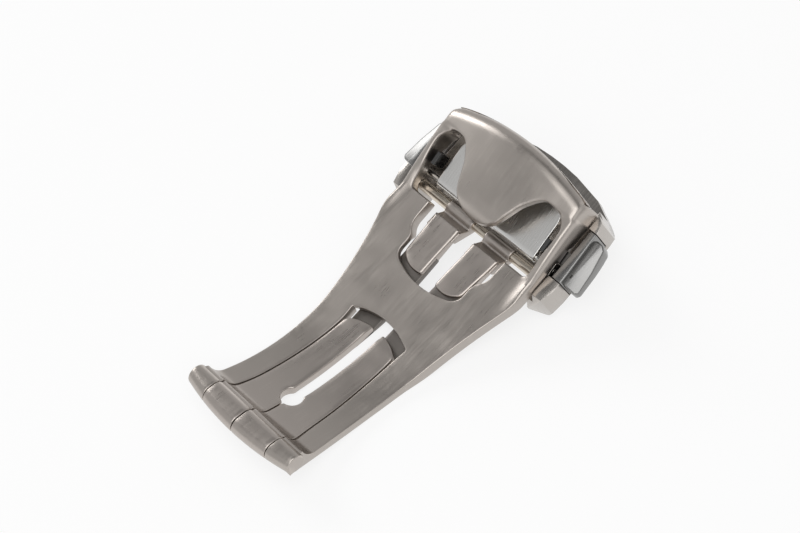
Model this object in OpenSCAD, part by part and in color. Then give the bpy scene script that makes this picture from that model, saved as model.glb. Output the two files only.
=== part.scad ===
// Deployant clasp for a leather or rubber watch strap, drawn closed with its cover down.
// X runs across the strap, +Y runs from the folding hinge to the cover, and Z is up.
// Head parts are drawn in the cover's own tilted frame: v along the cover, h out of it.

/* [Strap] */
// Clear width of the strap tunnel in the cover
tunnel_w = 18.3; // [18.1:0.1:18.5]

/* [Folding hinge] */
// Radius of the hinge barrel
barrel_r = 1.1; // [1.0:0.05:1.15]
// How far the middle of the barrel is crowned toward the front
crown = 0.88; // [0.5:0.04:1]
// Radius of the pin inside the barrel
hinge_pin_r = 0.45; // [0.4:0.01:0.5]
// Running clearance around a pin
fit_gap = 0.03; // [0.02:0.005:0.05]

/* [Blades] */
// Thickness of the blades by the folding hinge
thin = 1.0; // [0.9:0.05:1]
// Thickness of the wrist blade at its sides
thick = 1.5; // [1.4:0.05:1.5]
// Thickness of the bridge between the two windows
bridge_t = 0.75; // [0.6:0.05:0.8]
// Half-width of the wrist blade at its waist
waist = 6.72; // [6.5:0.02:6.9]
// Gap between a finger and the leg beside it
side_gap = 0.1; // [0.08:0.01:0.15]
// Half-width of the slot between the fingers
slot_half = 0.8; // [0.7:0.05:1]

/* [Head] */
// Height of the plate's crown above the head axle
plate_top = 3.95; // [3.9:0.05:4.1]
// Thickness of the head plate
plate_t = 1.0; // [0.9:0.05:1]
// Half-width across the rails
rail_out = 9.9; // [9.8:0.02:9.92]
// Height of the cover from its outer face to the top of its walls
cover_deep = 5.05; // [5:0.05:5.2]
// Thickness of the cover's floor
floor_t = 1.2; // [1:0.05:1.3]
// Travel of each push button
press = 0.4; // [0.3:0.05:0.4]

/* [Strap fixings] */
// Radius of the spring bar that holds the short strap
bar_r = 0.75; // [0.7:0.05:0.8]
// Radius of the post that enters the long strap's hole
post_r = 0.6; // [0.5:0.05:0.7]

/* [Hidden] */
$fn = 48;

// Driving places of the side profile
tilt = 31.6;                      // slope of the head against the floor
nose_y = -0.98;                   // frontmost point of the barrel
barrel_y = nose_y + barrel_r + crown;
barrel_z = 3.87;
barrel_half = 7.8;
seam_x = 4.87;                    // seam between leg knuckle and finger knuckle
cover_lean = 10.8;                // the cover slopes this much less than the plate
cover_top = [1.14, 0.92];         // a place (v, h) on the top of its walls, where its own frame starts
cover_far = 9.93;                 // far end of the cover's outer face
cover_near = -2.2;                // its near end
cover_tilt = tilt - cover_lean;
axle_y = 32.64;
axle_z = cover_deep * cos(cover_tilt) - cover_near * sin(cover_tilt)
         - cover_top[0] * sin(tilt) - cover_top[1] * cos(tilt);
far_y = axle_y + cover_top[0] * cos(tilt) - cover_top[1] * sin(tilt)
        + cover_far * cos(cover_tilt) + cover_deep * sin(cover_tilt);
mid_y = (nose_y + far_y) / 2;     // the row's origin lies under the middle of the box
head_axle_at = [0.25, -0.35];     // place (v, h) of the axle that joins the middle blade to the cover
web_low = 1.65;                   // depth of the middle blade's underside below the top surface
rail_low = 1.05;                  // underside of the rails over the lugs
recess_w = 9.8;                   // width of the recess under the bridge
lug_v = [-1.0, 2.6];              // the cover's lugs along the head, and their top
lug_top = 0.8;
hook_v = 2.8;                     // near side and length of the latch hooks
hook_len = 1.4;
hook_h = -0.05;                   // underside and thickness of the hooks' arms
hook_t = 0.25;
spring_v = 4.5;                   // place of the button springs and radius of their pockets
spring_h = -1.6;
pocket_r = 0.6;
button_pin_x = 10.95;             // place of the pins that retain the buttons
button_pin_v = 2.2;
button_pin_r = 0.25;

// Arcs of the blades' top surface: centre, radius, first and last slope
dip = [13.04, thin];              // lowest point of the top surface
arc_a = 31.8;
slope_a = 3.8;
arc_b = 15;
slope_b = 14.6;
arc_c = 114;
slope_c = 21.6;
centre_a = dip + [0, arc_a];
centre_b = on_arc(centre_a, arc_a, slope_a) + arc_b * [-sin(slope_a), cos(slope_a)];
centre_c = on_arc(centre_b, arc_b, slope_b) + arc_c * [-sin(slope_b), cos(slope_b)];

function on_arc(c, r, slope) = c + r * [sin(slope), -cos(slope)];

// A whole outline from its right half, which runs from the middle line round to the middle line
function whole(half) = concat(half, [for (i = [len(half) - 1:-1:0]) if (half[i].x > 0) [-half[i].x, half[i].y]]);

// Points along an arc between two slopes
function arc_points(c, r, from, to, steps = 8) = [for (i = [0:steps]) on_arc(c, r, from + (to - from) * i / steps)];

// A band under the upper part of the top surface, between two depths
module arc_band(from, to, top, bottom)
    polygon(concat(arc_points(centre_c, arc_c + top, from, to), arc_points(centre_c, arc_c + bottom, to, from)));

// Side profile from the barrel to a slope of arc C, with one thickness there
module blade_side(last, end_t) {
    first = -21.5;
    polygon(concat(arc_points(centre_a, arc_a, first, slope_a, 12), arc_points(centre_b, arc_b, slope_a, slope_b),
                   arc_points(centre_c, arc_c, slope_b + 0.2, last),
                   arc_points(centre_c, arc_c + end_t, last, slope_b + 0.2),
                   arc_points(centre_a, arc_a + thin, slope_a, first, 12)));
}

// Carries a (y, z) profile across the clasp
module across(width) rotate([90, 0, 90]) linear_extrude(width, center = true) children();

// Carries a (y, z) profile from x = a to x = b
module from_to(a, b) translate([a, 0, 0]) rotate([90, 0, 90]) linear_extrude(b - a) children();

module both_sides() {
    children();
    mirror([1, 0, 0]) children();
}

// Moves what is drawn in the cover's own frame to its place
module head() translate([0, axle_y, axle_z]) rotate([tilt, 0, 0]) children();

// Moves what is drawn in the cover's frame into the head's: along the walls' top, and out of it
module in_cover() translate([0, cover_top[0], cover_top[1]]) rotate([-cover_lean, 0, 0]) children();

// Sets a finished sub-part over the row's origin
module placed() translate([0, -mid_y, 0]) children();

// Hinge barrel: a bent rod for the crowned nose, filled back to a straight barrel round the pin
module barrel(r) {
    half = barrel_half;
    bend_r = (half * half + crown * crown) / (2 * crown);
    turn = asin(half / bend_r) + 1;
    inner_r = r - 0.03;
    translate([0, barrel_y, barrel_z]) intersection() {
        union() {
            translate([0, bend_r - crown, 0]) rotate([0, 0, 270 - turn])
                rotate_extrude(angle = 2 * turn, $fn = 192) translate([bend_r, 0]) circle(r = r);
            rotate([0, 90, 0]) cylinder(h = 2 * half + 1, r = inner_r, center = true);
            intersection() {
                translate([0, bend_r - crown, -inner_r]) cylinder(h = 2 * inner_r, r = bend_r, $fn = 192);
                translate([-half - 1, -crown, -9]) cube([2 * half + 2, crown, 18]);
            }
        }
        cube([2 * half, 9, 9], center = true);
    }
}

// Half outline of the fingers, from the slot to the outer edge
finger_edge = [[4.78, 0.2], [4.7, 3.0], [4.34, 5.3], [4.12, 9], [3.89, 12.7], [3.79, 16.2]];

module lower_window() {
    g = side_gap;
    // The legs stay clear of the crowned nose until their edge is behind it
    polygon(whole(concat([[0, -3], [seam_x, -3], [seam_x, 3.2]],
                         [for (i = [2:len(finger_edge) - 1]) finger_edge[i] + [g, 0]],
                         [[4.1, 18.46], [0, 18.46]])));
    intersection() {
        translate([0, 9.66]) circle(r = 9.8, $fn = 180);
        translate([-4.1, 18]) square([8.2, 2]);
    }
}

module upper_window() {
    difference() {
        polygon([[-4.66, 25.6], [-4.0, 24.9], [-4, 24.1], [4, 24.1], [4.0, 24.9], [4.66, 25.6],
                 [4.66, 27.6], [5.67, 28.3], [5.67, 33], [-5.67, 33], [-5.67, 28.3], [-4.66, 27.6]]);
        translate([0, 14.1]) circle(r = 10, $fn = 180);
        for (s = [-1, 1]) translate([s * 4, 24.1]) circle(r = 0.6);
    }
}

// Plan of the wrist blade with its drawn-in waist
module blade_plan() {
    cut_r = 54;
    side = rail_out - 0.05;
    difference() {
        translate([-side, nose_y]) square([2 * side, 34]);
        for (s = [-1, 1]) translate([s * (waist + cut_r), 10.3]) circle(r = cut_r, $fn = 720);
        for (s = [-1, 1]) translate([s * (barrel_half + 2), nose_y]) square([4, 6], center = true);
    }
}

// Head plate seen from above: a tongue between two teardrops; its far edge is cut by the rolled rim
module plate_plan() {
    tongue = [[0, 0.9], [1.6, 1.1], [2.96, 2.25], [3.68, 3.85], [4.29, 5.28], [5.08, 6.34], [5.75, 7.1]];
    polygon(whole(concat(tongue, [[8, 7.1], [8.6, 6.3], [rail_out, 6.3], [rail_out, 8.3], [9.4, 9.0], [8.8, 13],
                                  [0, 13]])));
}

// A rail seen from above, its inner face cut away beside the teardrop
module rail_plan()
    polygon([[8.7, -4], [8.7, 1.5], [9.0, 3.8], [9.05, 5.2], [8.6, 6.3], [8.3, 7], [8.3, 9.3], [9.3, 9.2],
             [rail_out, 8.4], [rail_out, -4]]);

module rail_side()
    polygon([[-3, 2.4], [-0.5, 2.16], [2, 2.7], [5, 3.2], [9.3, 3.5], [9.3, -0.9], [4.75, -0.05],
             [4.55, 0.32], [2.7, 0.32], [2.6, rail_low], [-0.8, rail_low], [-3, 1.6]]);

// Crown of the plate across the clasp, solid below its surface
module crown_solid(top) {
    crown_r = 42;
    translate([0, 12, top - crown_r]) rotate([90, 0, 0]) cylinder(h = 17, r = crown_r, $fn = 720);
}

module rails() both_sides() intersection() {
    from_to(8, rail_out) rail_side();
    linear_extrude(9) rail_plan();
    crown_solid(plate_top - 0.03);
}

module wrist_blade() color("silver") placed() {
    difference() {
        union() {
            difference() {
                intersection() {
                    across(2 * rail_out + 1) blade_side(slope_c, thick);
                    linear_extrude(9) blade_plan();
                }
                linear_extrude(9) lower_window();
                linear_extrude(12) upper_window();
                // Recess under the bridge for the middle blade
                across(recess_w) arc_band(13.6, slope_c + 2, bridge_t, 5);
            }
            intersection() {
                barrel(barrel_r);
                both_sides() translate([seam_x, nose_y - 1, 0]) cube([9, 4.2, 9]);
            }
            head() rails();
            head() head_plate();
        }
        translate([0, barrel_y, barrel_z]) rotate([0, 90, 0])
            cylinder(h = 2 * barrel_half + 1, r = hinge_pin_r + fit_gap, center = true);
        // Underside cut clear of the cover's lugs
        head() both_sides() translate([tunnel_w / 2 - 0.2, lug_v[0] - 0.5, -1])
            cube([2, lug_v[1] - lug_v[0] + 0.6, rail_low + 1]);
        // Holes for the spring bar's tips
        head() translate([0, bar_v, bar_h]) rotate([0, 90, 0]) cylinder(h = 19.4, r = tip_r + 0.02, center = true);
        // Grooves for the latch hooks
        head() both_sides() translate([8.6, hook_v - 0.1, 1.3]) cube([0.5, hook_len + 0.2, 0.6]);
    }
}

// Plate crowned across the clasp, its far edge an arc rolled toward the cover
module head_plate() {
    far_v = 10.8;
    edge_r = 30.8;
    roll = 1.4;
    rim_h = plate_top - roll;
    difference() {
        intersection() {
            linear_extrude(9) plate_plan();
            crown_solid(plate_top);
            // Turned disc with a rolled rim
            translate([0, far_v - edge_r, 0]) rotate_extrude($fn = 360) difference() {
                union() {
                    translate([15, 1.3]) square([edge_r - roll - 15, plate_top - 1.3]);
                    translate([edge_r - roll, rim_h]) circle(r = roll);
                }
                translate([edge_r - roll, 0]) square([roll + 1, rim_h - 0.2]);
            }
        }
        // Hollow under the plate, between the rails and short of the rim
        intersection() {
            crown_solid(plate_top - plate_t);
            translate([0, far_v - edge_r, 0]) cylinder(h = 9, r = edge_r - roll, $fn = 360);
            translate([-8.8, -3, 0]) cube([17.6, 16, 9]);
        }
    }
}

// Middle blade
module fingers_plan() {
    difference() {
        polygon(whole(concat([[0, -3], [seam_x - 0.07, -3]], finger_edge,
                             [[3.74, 17.1], [2.4, 17.8], [0, 18.2]])));
        finger_slot();
    }
}

module finger_slot() {
    bulb_y = 6.7;
    web_y = [19.9, 23.7];         // the web that joins the fingers lies under the bridge
    translate([0, bulb_y]) circle(r = 1.17);
    translate([-slot_half, bulb_y]) square([2 * slot_half, web_y[0] - bulb_y]);
    translate([-0.08, -3]) square([0.16, bulb_y]);
    translate([-slot_half, web_y[1]]) square([2 * slot_half, 12]);
}

module middle_blade() color("gainsboro") placed() {
    difference() {
        union() {
            // Fingers, flush with the legs beside them
            intersection() {
                across(10) finger_side();
                linear_extrude(9) fingers_plan();
            }
            intersection() {
                barrel(barrel_r);
                translate([-seam_x + 0.07, nose_y - 1, 0]) cube([2 * seam_x - 0.14, 4.2, 9]);
            }
            // Web that dips under the bridge
            across(7.5) web_side(bridge_t + 0.15);
            // Pads in the upper window
            both_sides() intersection() {
                across(10) pad_side();
                linear_extrude(9) polygon([[1.0, 25.1], [2.4, 25.0], [3.5, 25.3], [4.35, 25.95], [4.72, 31.1],
                                           [4.72, 34], [0.95, 34]]);
            }
            head() both_sides() from_to(0.95, 4.8) translate(head_axle_at) circle(r = knuckle_r);
        }
        translate([0, barrel_y, barrel_z]) rotate([0, 90, 0])
            cylinder(h = 2 * barrel_half, r = hinge_pin_r + fit_gap, center = true);
        head() along_axle() cylinder(h = 30, r = axle_r + fit_gap, center = true);
        linear_extrude(9) finger_slot();
    }
}

// Fingers end under the arch, thick enough to meet the web
module finger_side() blade_side(slope_b + 0.4, web_low);

module web_side(top) {
    polygon(concat([on_arc(centre_a, arc_a + thin, slope_a + 0.4)], arc_points(centre_c, arc_c + web_low, 15.1, 19.6),
                   arc_points(centre_c, arc_c + top, 19.6, 15), [on_arc(centre_b, arc_b + 0.7, 10)]));
}

// A pad, its step, and the neck that leads to the knuckle
module pad_side() {
    arc_band(18.3, 20.8, 0.45, web_low + 0.02);
    translate([axle_y, axle_z]) rotate(tilt)
        polygon([[-2.5, 2.16], [-1.0, 1.42], [-0.48, 0.1], [0.25, 0.4], [0.25, -1.1], [-0.4, -0.85], [-2.5, 1.0]]);
}

// Axles and pins
axle_r = 0.5;
axle_half = 10.2;
knuckle_r = 0.8;

module along_axle() translate([0, head_axle_at[0], head_axle_at[1]]) rotate([0, 90, 0]) children();

module mid_hinge_pin() color("dimgray") placed()
    translate([0, barrel_y, barrel_z]) rotate([0, 90, 0])
        cylinder(h = 2 * barrel_half - 0.5, r = hinge_pin_r, center = true);

module head_axle() color("tan") placed() head() along_axle()
    cylinder(h = 2 * axle_half, r = axle_r, center = true);

// Sleeves that keep the middle blade central on the axle
module axle_spacers() color("tan") placed() head() both_sides() along_axle()
    translate([0, 0, 4.85]) difference() {
        cylinder(h = 4.25, r = 0.62);
        translate([0, 0, -1]) cylinder(h = 7, r = axle_r + 0.02);
    }

// Strap flap
lip_v = 1.75;
lip_h = 0.1;
flap_pin_r = 0.35;
post_v = 4.4;
post_len = 2.2;
rivet_r = 0.4;

module strap_flap() color("whitesmoke") placed() head() difference() {
    union() {
        across(14.6) translate([lip_v, lip_h]) circle(r = 0.65);
        intersection() {
            translate([0, 0, 0.05]) linear_extrude(0.7) union() {
                translate([-7.3, lip_v]) square([14.6, 4]);
                for (s = [-1, 1]) translate([s * 5.8, 5.7]) circle(r = 1.5);
                translate([-5.8, 5]) square([11.6, 2.2]);
            }
            translate([-8, 0, 0]) cube([16, 9, 2]);
        }
    }
    translate([0, lip_v, lip_h]) rotate([0, 90, 0]) cylinder(h = 20, r = flap_pin_r + fit_gap, center = true);
    translate([0, post_v, 0]) cylinder(h = 2, r = rivet_r);
}

module flap_pin() color("dimgray") placed() head()
    translate([0, lip_v, lip_h]) rotate([0, 90, 0]) cylinder(h = 19.8, r = flap_pin_r, center = true);

// Post with a domed end, riveted in the flap
module strap_post() color("silver") placed() head() translate([0, post_v, 0]) {
    translate([0, 0, -post_len]) cylinder(h = post_len + 0.05, r = post_r);
    translate([0, 0, -post_len]) sphere(r = post_r);
    translate([0, 0, 0.04]) cylinder(h = 0.7, r = rivet_r);
}

// Cover, drawn in its own frame
module cover_plan() {
    polygon(whole([[0, -3.8], [9.1, -3.7], [10.6, -2.95], [11.2, -2.5], [11.6, -1.0], [11.55, 1.0], [11.1, 6.5],
                   [10.8, 7.5], [9.2, 8.4], [6.7, 9.5], [3, 10.15], [0, 10.35]]));
}

module cover_section() {
    polygon([[-11.8, 0], [-11.8, -3.1], [-10.2, -cover_deep], [10.2, -cover_deep], [11.8, -3.1], [11.8, 0]]);
}

module cover_side() {
    polygon([[cover_near, -cover_deep], [-3.8, -2.9], [-2.5, 0], [8.6, 0], [10.4, -0.6], [10.4, -3.5],
             [cover_far, -cover_deep]]);
}

module cover_block() in_cover() intersection() {
    translate([0, 0, -6]) linear_extrude(7) cover_plan();
    translate([0, 12, 0]) rotate([90, 0, 0]) linear_extrude(17) cover_section();
    across(28) cover_side();
}

module cover() color("lightgray") placed() head() difference() {
    cover_block();
    // Channel of the strap between the lower walls, open at both ends
    in_cover() translate([-tunnel_w / 2, -6, -cover_deep + floor_t]) cube([tunnel_w, 20, 9]);
    // Wider space above the lugs for the rails
    difference() {
        in_cover() translate([-10, -6, -1.1]) cube([20, 20, 9]);
        both_sides() translate([9, lug_v[0], -2]) cube([1.5, lug_v[1] - lug_v[0], lug_top + 2]);
    }
    along_axle() cylinder(h = 2 * axle_half + 0.02, r = axle_r + 0.01, center = true);
    translate([0, lip_v, lip_h]) rotate([0, 90, 0]) cylinder(h = 19.82, r = flap_pin_r + 0.01, center = true);
    both_sides() {
        // Side cut-out of the push button
        in_cover() translate([button_in - press - 0.07, 0.05, -3.3]) cube([4, 6.25, 6]);
        // Passage of the latch hook's arm
        translate([9.0, hook_v - 0.2, hook_h - 0.1]) cube([1.5, hook_len + 0.4, 3]);
        // Pocket of the button's spring
        translate([9.5, spring_v, spring_h]) rotate([0, 90, 0]) cylinder(h = 1, r = pocket_r);
        // Seat of the button's pin
        translate([button_pin_x, button_pin_v, -2.85]) cylinder(h = 2, r = button_pin_r + 0.01);
    }
}

// Push buttons, drawn released
button_in = 10.35;                // inner face of the button

module button_half() {
    slot_r = button_pin_r + 0.05;
    difference() {
        union() {
            intersection() {
                cover_block();
                in_cover() translate([button_in, 0.12, -3.2]) cube([2.2, 6.11, 4]);
            }
            // Pad that the finger presses, with a bevelled outer edge
            in_cover() intersection() {
                translate([0, 0, -2.75]) linear_extrude(2)
                    polygon([[11, 0.2], [12.9, 0.2], [13.25, 0.55], [12.95, 3.0], [12.4, 5.5], [11.9, 5.95], [11, 5.95]]);
                translate([0, 9, 0]) rotate([90, 0, 0]) linear_extrude(9)
                    polygon([[11, -1.0], [11.7, -1.03], [13.3, -1.35], [13.3, -2.2], [12.6, -2.75], [11, -2.75]]);
            }
        }
        translate([10, spring_v, spring_h]) rotate([0, 90, 0]) cylinder(h = 1.1, r = pocket_r);
        // Slot that the retaining pin runs in
        translate([button_pin_x, button_pin_v, -3]) linear_extrude(2.8) {
            circle(r = slot_r);
            translate([0, -slot_r]) square([press, 2 * slot_r]);
            translate([press, 0]) circle(r = slot_r);
        }
        // Seat of the latch hook
        translate([10, hook_v - 0.01, hook_h - 0.01]) cube([1.02, hook_len + 0.02, hook_t + 0.02]);
    }
}

// Latch hook: an arm from the button, a finger that stands up beside the rail, and its nose
module latch_half() translate([8.05, hook_v, hook_h]) {
    cube([2.95, hook_len, hook_t]);
    cube([0.4, hook_len, 2.05]);
    translate([0.35, 0, 1.5]) cube([0.2, hook_len, 0.3]);
}

module push_button_right() color("gray") placed() head() button_half();
module push_button_left() color("gray") placed() head() mirror([1, 0, 0]) button_half();
module latch_hook_right() color("darkgray") placed() head() latch_half();
module latch_hook_left() color("darkgray") placed() head() mirror([1, 0, 0]) latch_half();

// A compression spring as one tube along X, from x = a to x = b
module spring(a, b, coil_r, wire_r, turns) {
    steps = 10;
    sides = 6;
    count = turns * steps;
    pitch = (b - a - 2 * wire_r) / count;
    points = [for (i = [0:count]) for (k = [0:sides - 1])
        let (t = 360 * i / steps, q = 360 * k / sides, r = coil_r + wire_r * cos(q))
        [a + wire_r + pitch * i + wire_r * sin(q), r * cos(t), r * sin(t)]];
    walls = [for (i = [0:count - 1]) for (k = [0:sides - 1]) let (m = (k + 1) % sides)
        each [[i * sides + k, i * sides + m, (i + 1) * sides + m],
              [i * sides + k, (i + 1) * sides + m, (i + 1) * sides + k]]];
    start = [for (k = [0:sides - 1]) sides - 1 - k];
    end = [for (k = [0:sides - 1]) count * sides + k];
    polyhedron(points, concat(walls, [start], [end]));
}

module button_spring_right() color("goldenrod") placed() head()
    translate([0, spring_v, spring_h]) spring(9.55, 10.65, 0.42, 0.09, 4);
module button_spring_left() color("goldenrod") placed() head()
    translate([0, spring_v, spring_h]) mirror([1, 0, 0]) spring(9.55, 10.65, 0.42, 0.09, 4);

module button_pins() color("dimgray") placed() head() both_sides()
    translate([button_pin_x, button_pin_v, -2.84]) cylinder(h = 2.5, r = button_pin_r);

// Spring bar for the short strap
bar_v = 8.8;
bar_h = 1.2;
bar_half = 7.9;
tip_r = 0.4;

module spring_bar_tube() color("silver") placed() head() translate([0, bar_v, bar_h])
    rotate([0, 90, 0]) difference() {
        cylinder(h = 2 * bar_half, r = bar_r, center = true);
        cylinder(h = 2 * bar_half - 1.2, r = 0.55, center = true);
        cylinder(h = 2 * bar_half + 1.2, r = tip_r + 0.03, center = true);
    }

// Tip of the spring bar: a collar that the tube keeps in, and a stem that enters the rail
module bar_tip() translate([5.9, bar_v, bar_h]) rotate([0, 90, 0]) {
    cylinder(h = 1.38, r = 0.5);
    cylinder(h = 3.7, r = tip_r);
}

module spring_bar_tip_right() color("dimgray") placed() head() bar_tip();
module spring_bar_tip_left() color("dimgray") placed() head() mirror([1, 0, 0]) bar_tip();

module spring_bar_spring() color("goldenrod") placed() head()
    translate([0, bar_v, bar_h]) spring(-4.7, 4.7, 0.4, 0.09, 12);

cover();
wrist_blade();
middle_blade();
mid_hinge_pin();
head_axle();
axle_spacers();
strap_flap();
flap_pin();
strap_post();
push_button_left();
push_button_right();
latch_hook_left();
latch_hook_right();
button_spring_left();
button_spring_right();
button_pins();
spring_bar_tube();
spring_bar_tip_left();
spring_bar_tip_right();
spring_bar_spring();
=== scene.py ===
"""A closed deployant clasp in satin steel, dressed over its CAD frame.

Lengths are millimetres in the drawing frame of the part, where y = 1 is the folding hinge's axis,
and become metres in the row frame when a mesh is made. Head parts use (x, v, h): v runs along the
head from near its axle, and h stands out of it.
"""
import itertools
import math

import bmesh
import bpy
import numpy as np
from mathutils import Matrix, Vector
from mathutils.geometry import delaunay_2d_cdt


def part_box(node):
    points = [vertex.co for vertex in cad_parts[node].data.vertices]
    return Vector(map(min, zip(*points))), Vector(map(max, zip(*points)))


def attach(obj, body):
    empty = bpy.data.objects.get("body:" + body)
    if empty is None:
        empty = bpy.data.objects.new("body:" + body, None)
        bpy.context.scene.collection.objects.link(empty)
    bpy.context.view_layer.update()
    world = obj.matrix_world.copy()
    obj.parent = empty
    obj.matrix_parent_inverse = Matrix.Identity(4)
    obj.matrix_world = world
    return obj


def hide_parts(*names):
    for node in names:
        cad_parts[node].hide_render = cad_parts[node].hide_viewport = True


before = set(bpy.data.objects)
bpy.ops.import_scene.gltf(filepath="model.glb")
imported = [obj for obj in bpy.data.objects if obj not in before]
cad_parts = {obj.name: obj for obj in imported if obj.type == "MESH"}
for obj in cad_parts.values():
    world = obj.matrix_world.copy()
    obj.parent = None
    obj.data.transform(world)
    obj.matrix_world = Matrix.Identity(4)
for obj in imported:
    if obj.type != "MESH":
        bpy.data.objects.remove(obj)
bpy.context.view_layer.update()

MM = 0.001


def centre(node):
    """Middle of a CAD node's box, in millimetres."""
    low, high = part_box(node)
    return (np.array(low) + np.array(high)) / 2 / MM


# Places and angles that the drawing takes from the frame
HINGE_Y = 1.0
SHIFT = centre("mid_hinge_pin")[1] - HINGE_Y     # from the drawing's y to the row's y
HINGE_Z = centre("mid_hinge_pin")[2]
TILT = math.radians(31.6)
AXLE_V, AXLE_H = 0.25, -0.35                     # the head axle in the head's frame
HEAD_Y = centre("head_axle")[1] - SHIFT - AXLE_V * math.cos(TILT) + AXLE_H * math.sin(TILT)
HEAD_Z = centre("head_axle")[2] - AXLE_V * math.sin(TILT) - AXLE_H * math.cos(TILT)

# The blades' top surface: three arcs, each from one slope to the next
DIP = (13.04, 1.0)
ARC_A, ARC_B, ARC_C = 31.8, 15.0, 114.0
SLOPE_A, SLOPE_B, SLOPE_C = (math.radians(d) for d in (3.8, 14.6, 21.6))


def on_arc(c, r, slope):
    return c[0] + r * math.sin(slope), c[1] - r * math.cos(slope)


def next_centre(c, r, slope, r_next):
    y, z = on_arc(c, r, slope)
    return y - r_next * math.sin(slope), z + r_next * math.cos(slope)


CENTRE_A = (DIP[0], DIP[1] + ARC_A)
CENTRE_B = next_centre(CENTRE_A, ARC_A, SLOPE_A, ARC_B)
CENTRE_C = next_centre(CENTRE_B, ARC_B, SLOPE_B, ARC_C)
Y_A = on_arc(CENTRE_A, ARC_A, SLOPE_A)[0]
Y_B = on_arc(CENTRE_B, ARC_B, SLOPE_B)[0]
Y_END, Z_END = on_arc(CENTRE_C, ARC_C, SLOPE_C)

JOIN_HALF = 1.2        # half the length over which the blade's surface turns into the head's

# The blade's end in the head's frame
V_END = (Y_END - HEAD_Y) * math.cos(TILT) + (Z_END - HEAD_Z) * math.sin(TILT)
H_END = -(Y_END - HEAD_Y) * math.sin(TILT) + (Z_END - HEAD_Z) * math.cos(TILT)


def head(x, v, h):
    """Head coordinates to row coordinates, in millimetres."""
    y = HEAD_Y + SHIFT + v * math.cos(TILT) - h * math.sin(TILT)
    z = HEAD_Z + v * math.sin(TILT) + h * math.cos(TILT)
    return np.stack(np.broadcast_arrays(x, y, z), -1)


def along_blade(x, y, w):
    """A point w above the blades' top surface at y; beyond the last arc the surface runs on straight."""
    y = np.asarray(y, float)
    z = np.empty_like(y)
    slope = np.empty_like(y)
    low = 0
    arcs = ((CENTRE_A, ARC_A, Y_A), (CENTRE_B, ARC_B, Y_B), (CENTRE_C, ARC_C, Y_END))
    for (cy, cz), r, y_last in arcs:
        here = (y >= low) & (y < y_last) if low else y < y_last
        slope[here] = np.arcsin((y[here] - cy) / r)
        z[here] = cz - r * np.cos(slope[here])
        low = y_last
    past = y >= Y_END
    slope[past] = SLOPE_C
    z[past] = Z_END + (y[past] - Y_END) * math.tan(SLOPE_C)
    return np.stack(np.broadcast_arrays(x, y + SHIFT - w * np.sin(slope), z + w * np.cos(slope)), -1)


def smooth(a, b, t):
    """0 before a, 1 after b, with no corner between."""
    k = np.clip((t - a) / (b - a), 0, 1)
    return k * k * (3 - 2 * k)


def head_v(u):
    """The v on the head for the wrist blade's u."""
    return u - Y_END + V_END


def of_head(v):
    """The wrist blade's u for a v on the head."""
    return v - V_END + Y_END


def wrist_place(x, u, w):
    """u is y on the blade, then v along the head past the blade's end."""
    on_head = head(x, head_v(u), H_END + w)
    on_blade = along_blade(x, u, w)
    k = smooth(Y_END - JOIN_HALF, Y_END + JOIN_HALF, u)[..., None]
    return on_blade * (1 - k) + on_head * k


# Outlines

def signed_area(loop):
    x, y = loop[:, 0], loop[:, 1]
    return 0.5 * np.sum(x * np.roll(y, -1) - np.roll(x, -1) * y)


MELT = 99              # a rounding so large that it is held to half the way to each neighbour
CORNER_POINTS = 9
LEAST_POINTS = 12


def curve(points, step=0.12):
    """A closed outline from corners (x, y) or (x, y, rounding).

    A corner without a rounding melts into its neighbours.
    """
    corners = [(p[0], p[1], p[2] if len(p) > 2 else MELT) for p in points]
    path = []
    for i, (x, y, r) in enumerate(corners):
        here = np.array([x, y])
        ends = []
        for other in (corners[i - 1], corners[(i + 1) % len(corners)]):
            way = np.array(other[:2]) - here
            length = np.linalg.norm(way)
            ends.append(here + way * min(r / max(length, 1e-9), 0.5))
        for t in np.linspace(0, 1, CORNER_POINTS):
            path.append((1 - t) ** 2 * ends[0] + 2 * t * (1 - t) * here + t * t * ends[1])
    path = np.array(path)
    lengths = np.linalg.norm(np.roll(path, -1, 0) - path, axis=1)
    path = path[lengths > 1e-7]
    lengths = lengths[lengths > 1e-7]
    at = np.concatenate([[0], np.cumsum(lengths)])
    count = max(int(at[-1] / step), LEAST_POINTS)
    t = np.arange(count) * at[-1] / count
    whole = np.vstack([path, path[:1]])
    return np.stack([np.interp(t, at, whole[:, k]) for k in (0, 1)], 1)


def mirrored(half):
    """A whole outline from its right half, which runs from the middle line round to the middle line."""
    return list(half) + [(-p[0],) + tuple(p[1:]) for p in reversed(half) if p[0] > 0]


def inward(loop):
    """Unit normals that point to the left of the way along a closed loop."""
    way = np.roll(loop, -1, 0) - np.roll(loop, 1, 0)
    normal = np.stack([-way[:, 1], way[:, 0]], 1)
    return normal / np.maximum(np.linalg.norm(normal, axis=1), 1e-9)[:, None]


def inside(points, loops):
    """Even-odd test of points against closed loops."""
    odd = np.zeros(len(points), bool)
    for loop in loops:
        a, b = loop, np.roll(loop, -1, 0)
        for part in np.array_split(np.arange(len(points)), max(len(points) // 2000, 1)):
            p = points[part]
            crosses = (a[:, 1] > p[:, 1:2]) != (b[:, 1] > p[:, 1:2])
            with np.errstate(divide="ignore", invalid="ignore"):
                at = a[:, 0] + (p[:, 1:2] - a[:, 1]) / (b[:, 1] - a[:, 1]) * (b[:, 0] - a[:, 0])
            odd[part] ^= (np.sum(crosses & (p[:, 0:1] < at), axis=1) % 2).astype(bool)
    return odd


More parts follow.
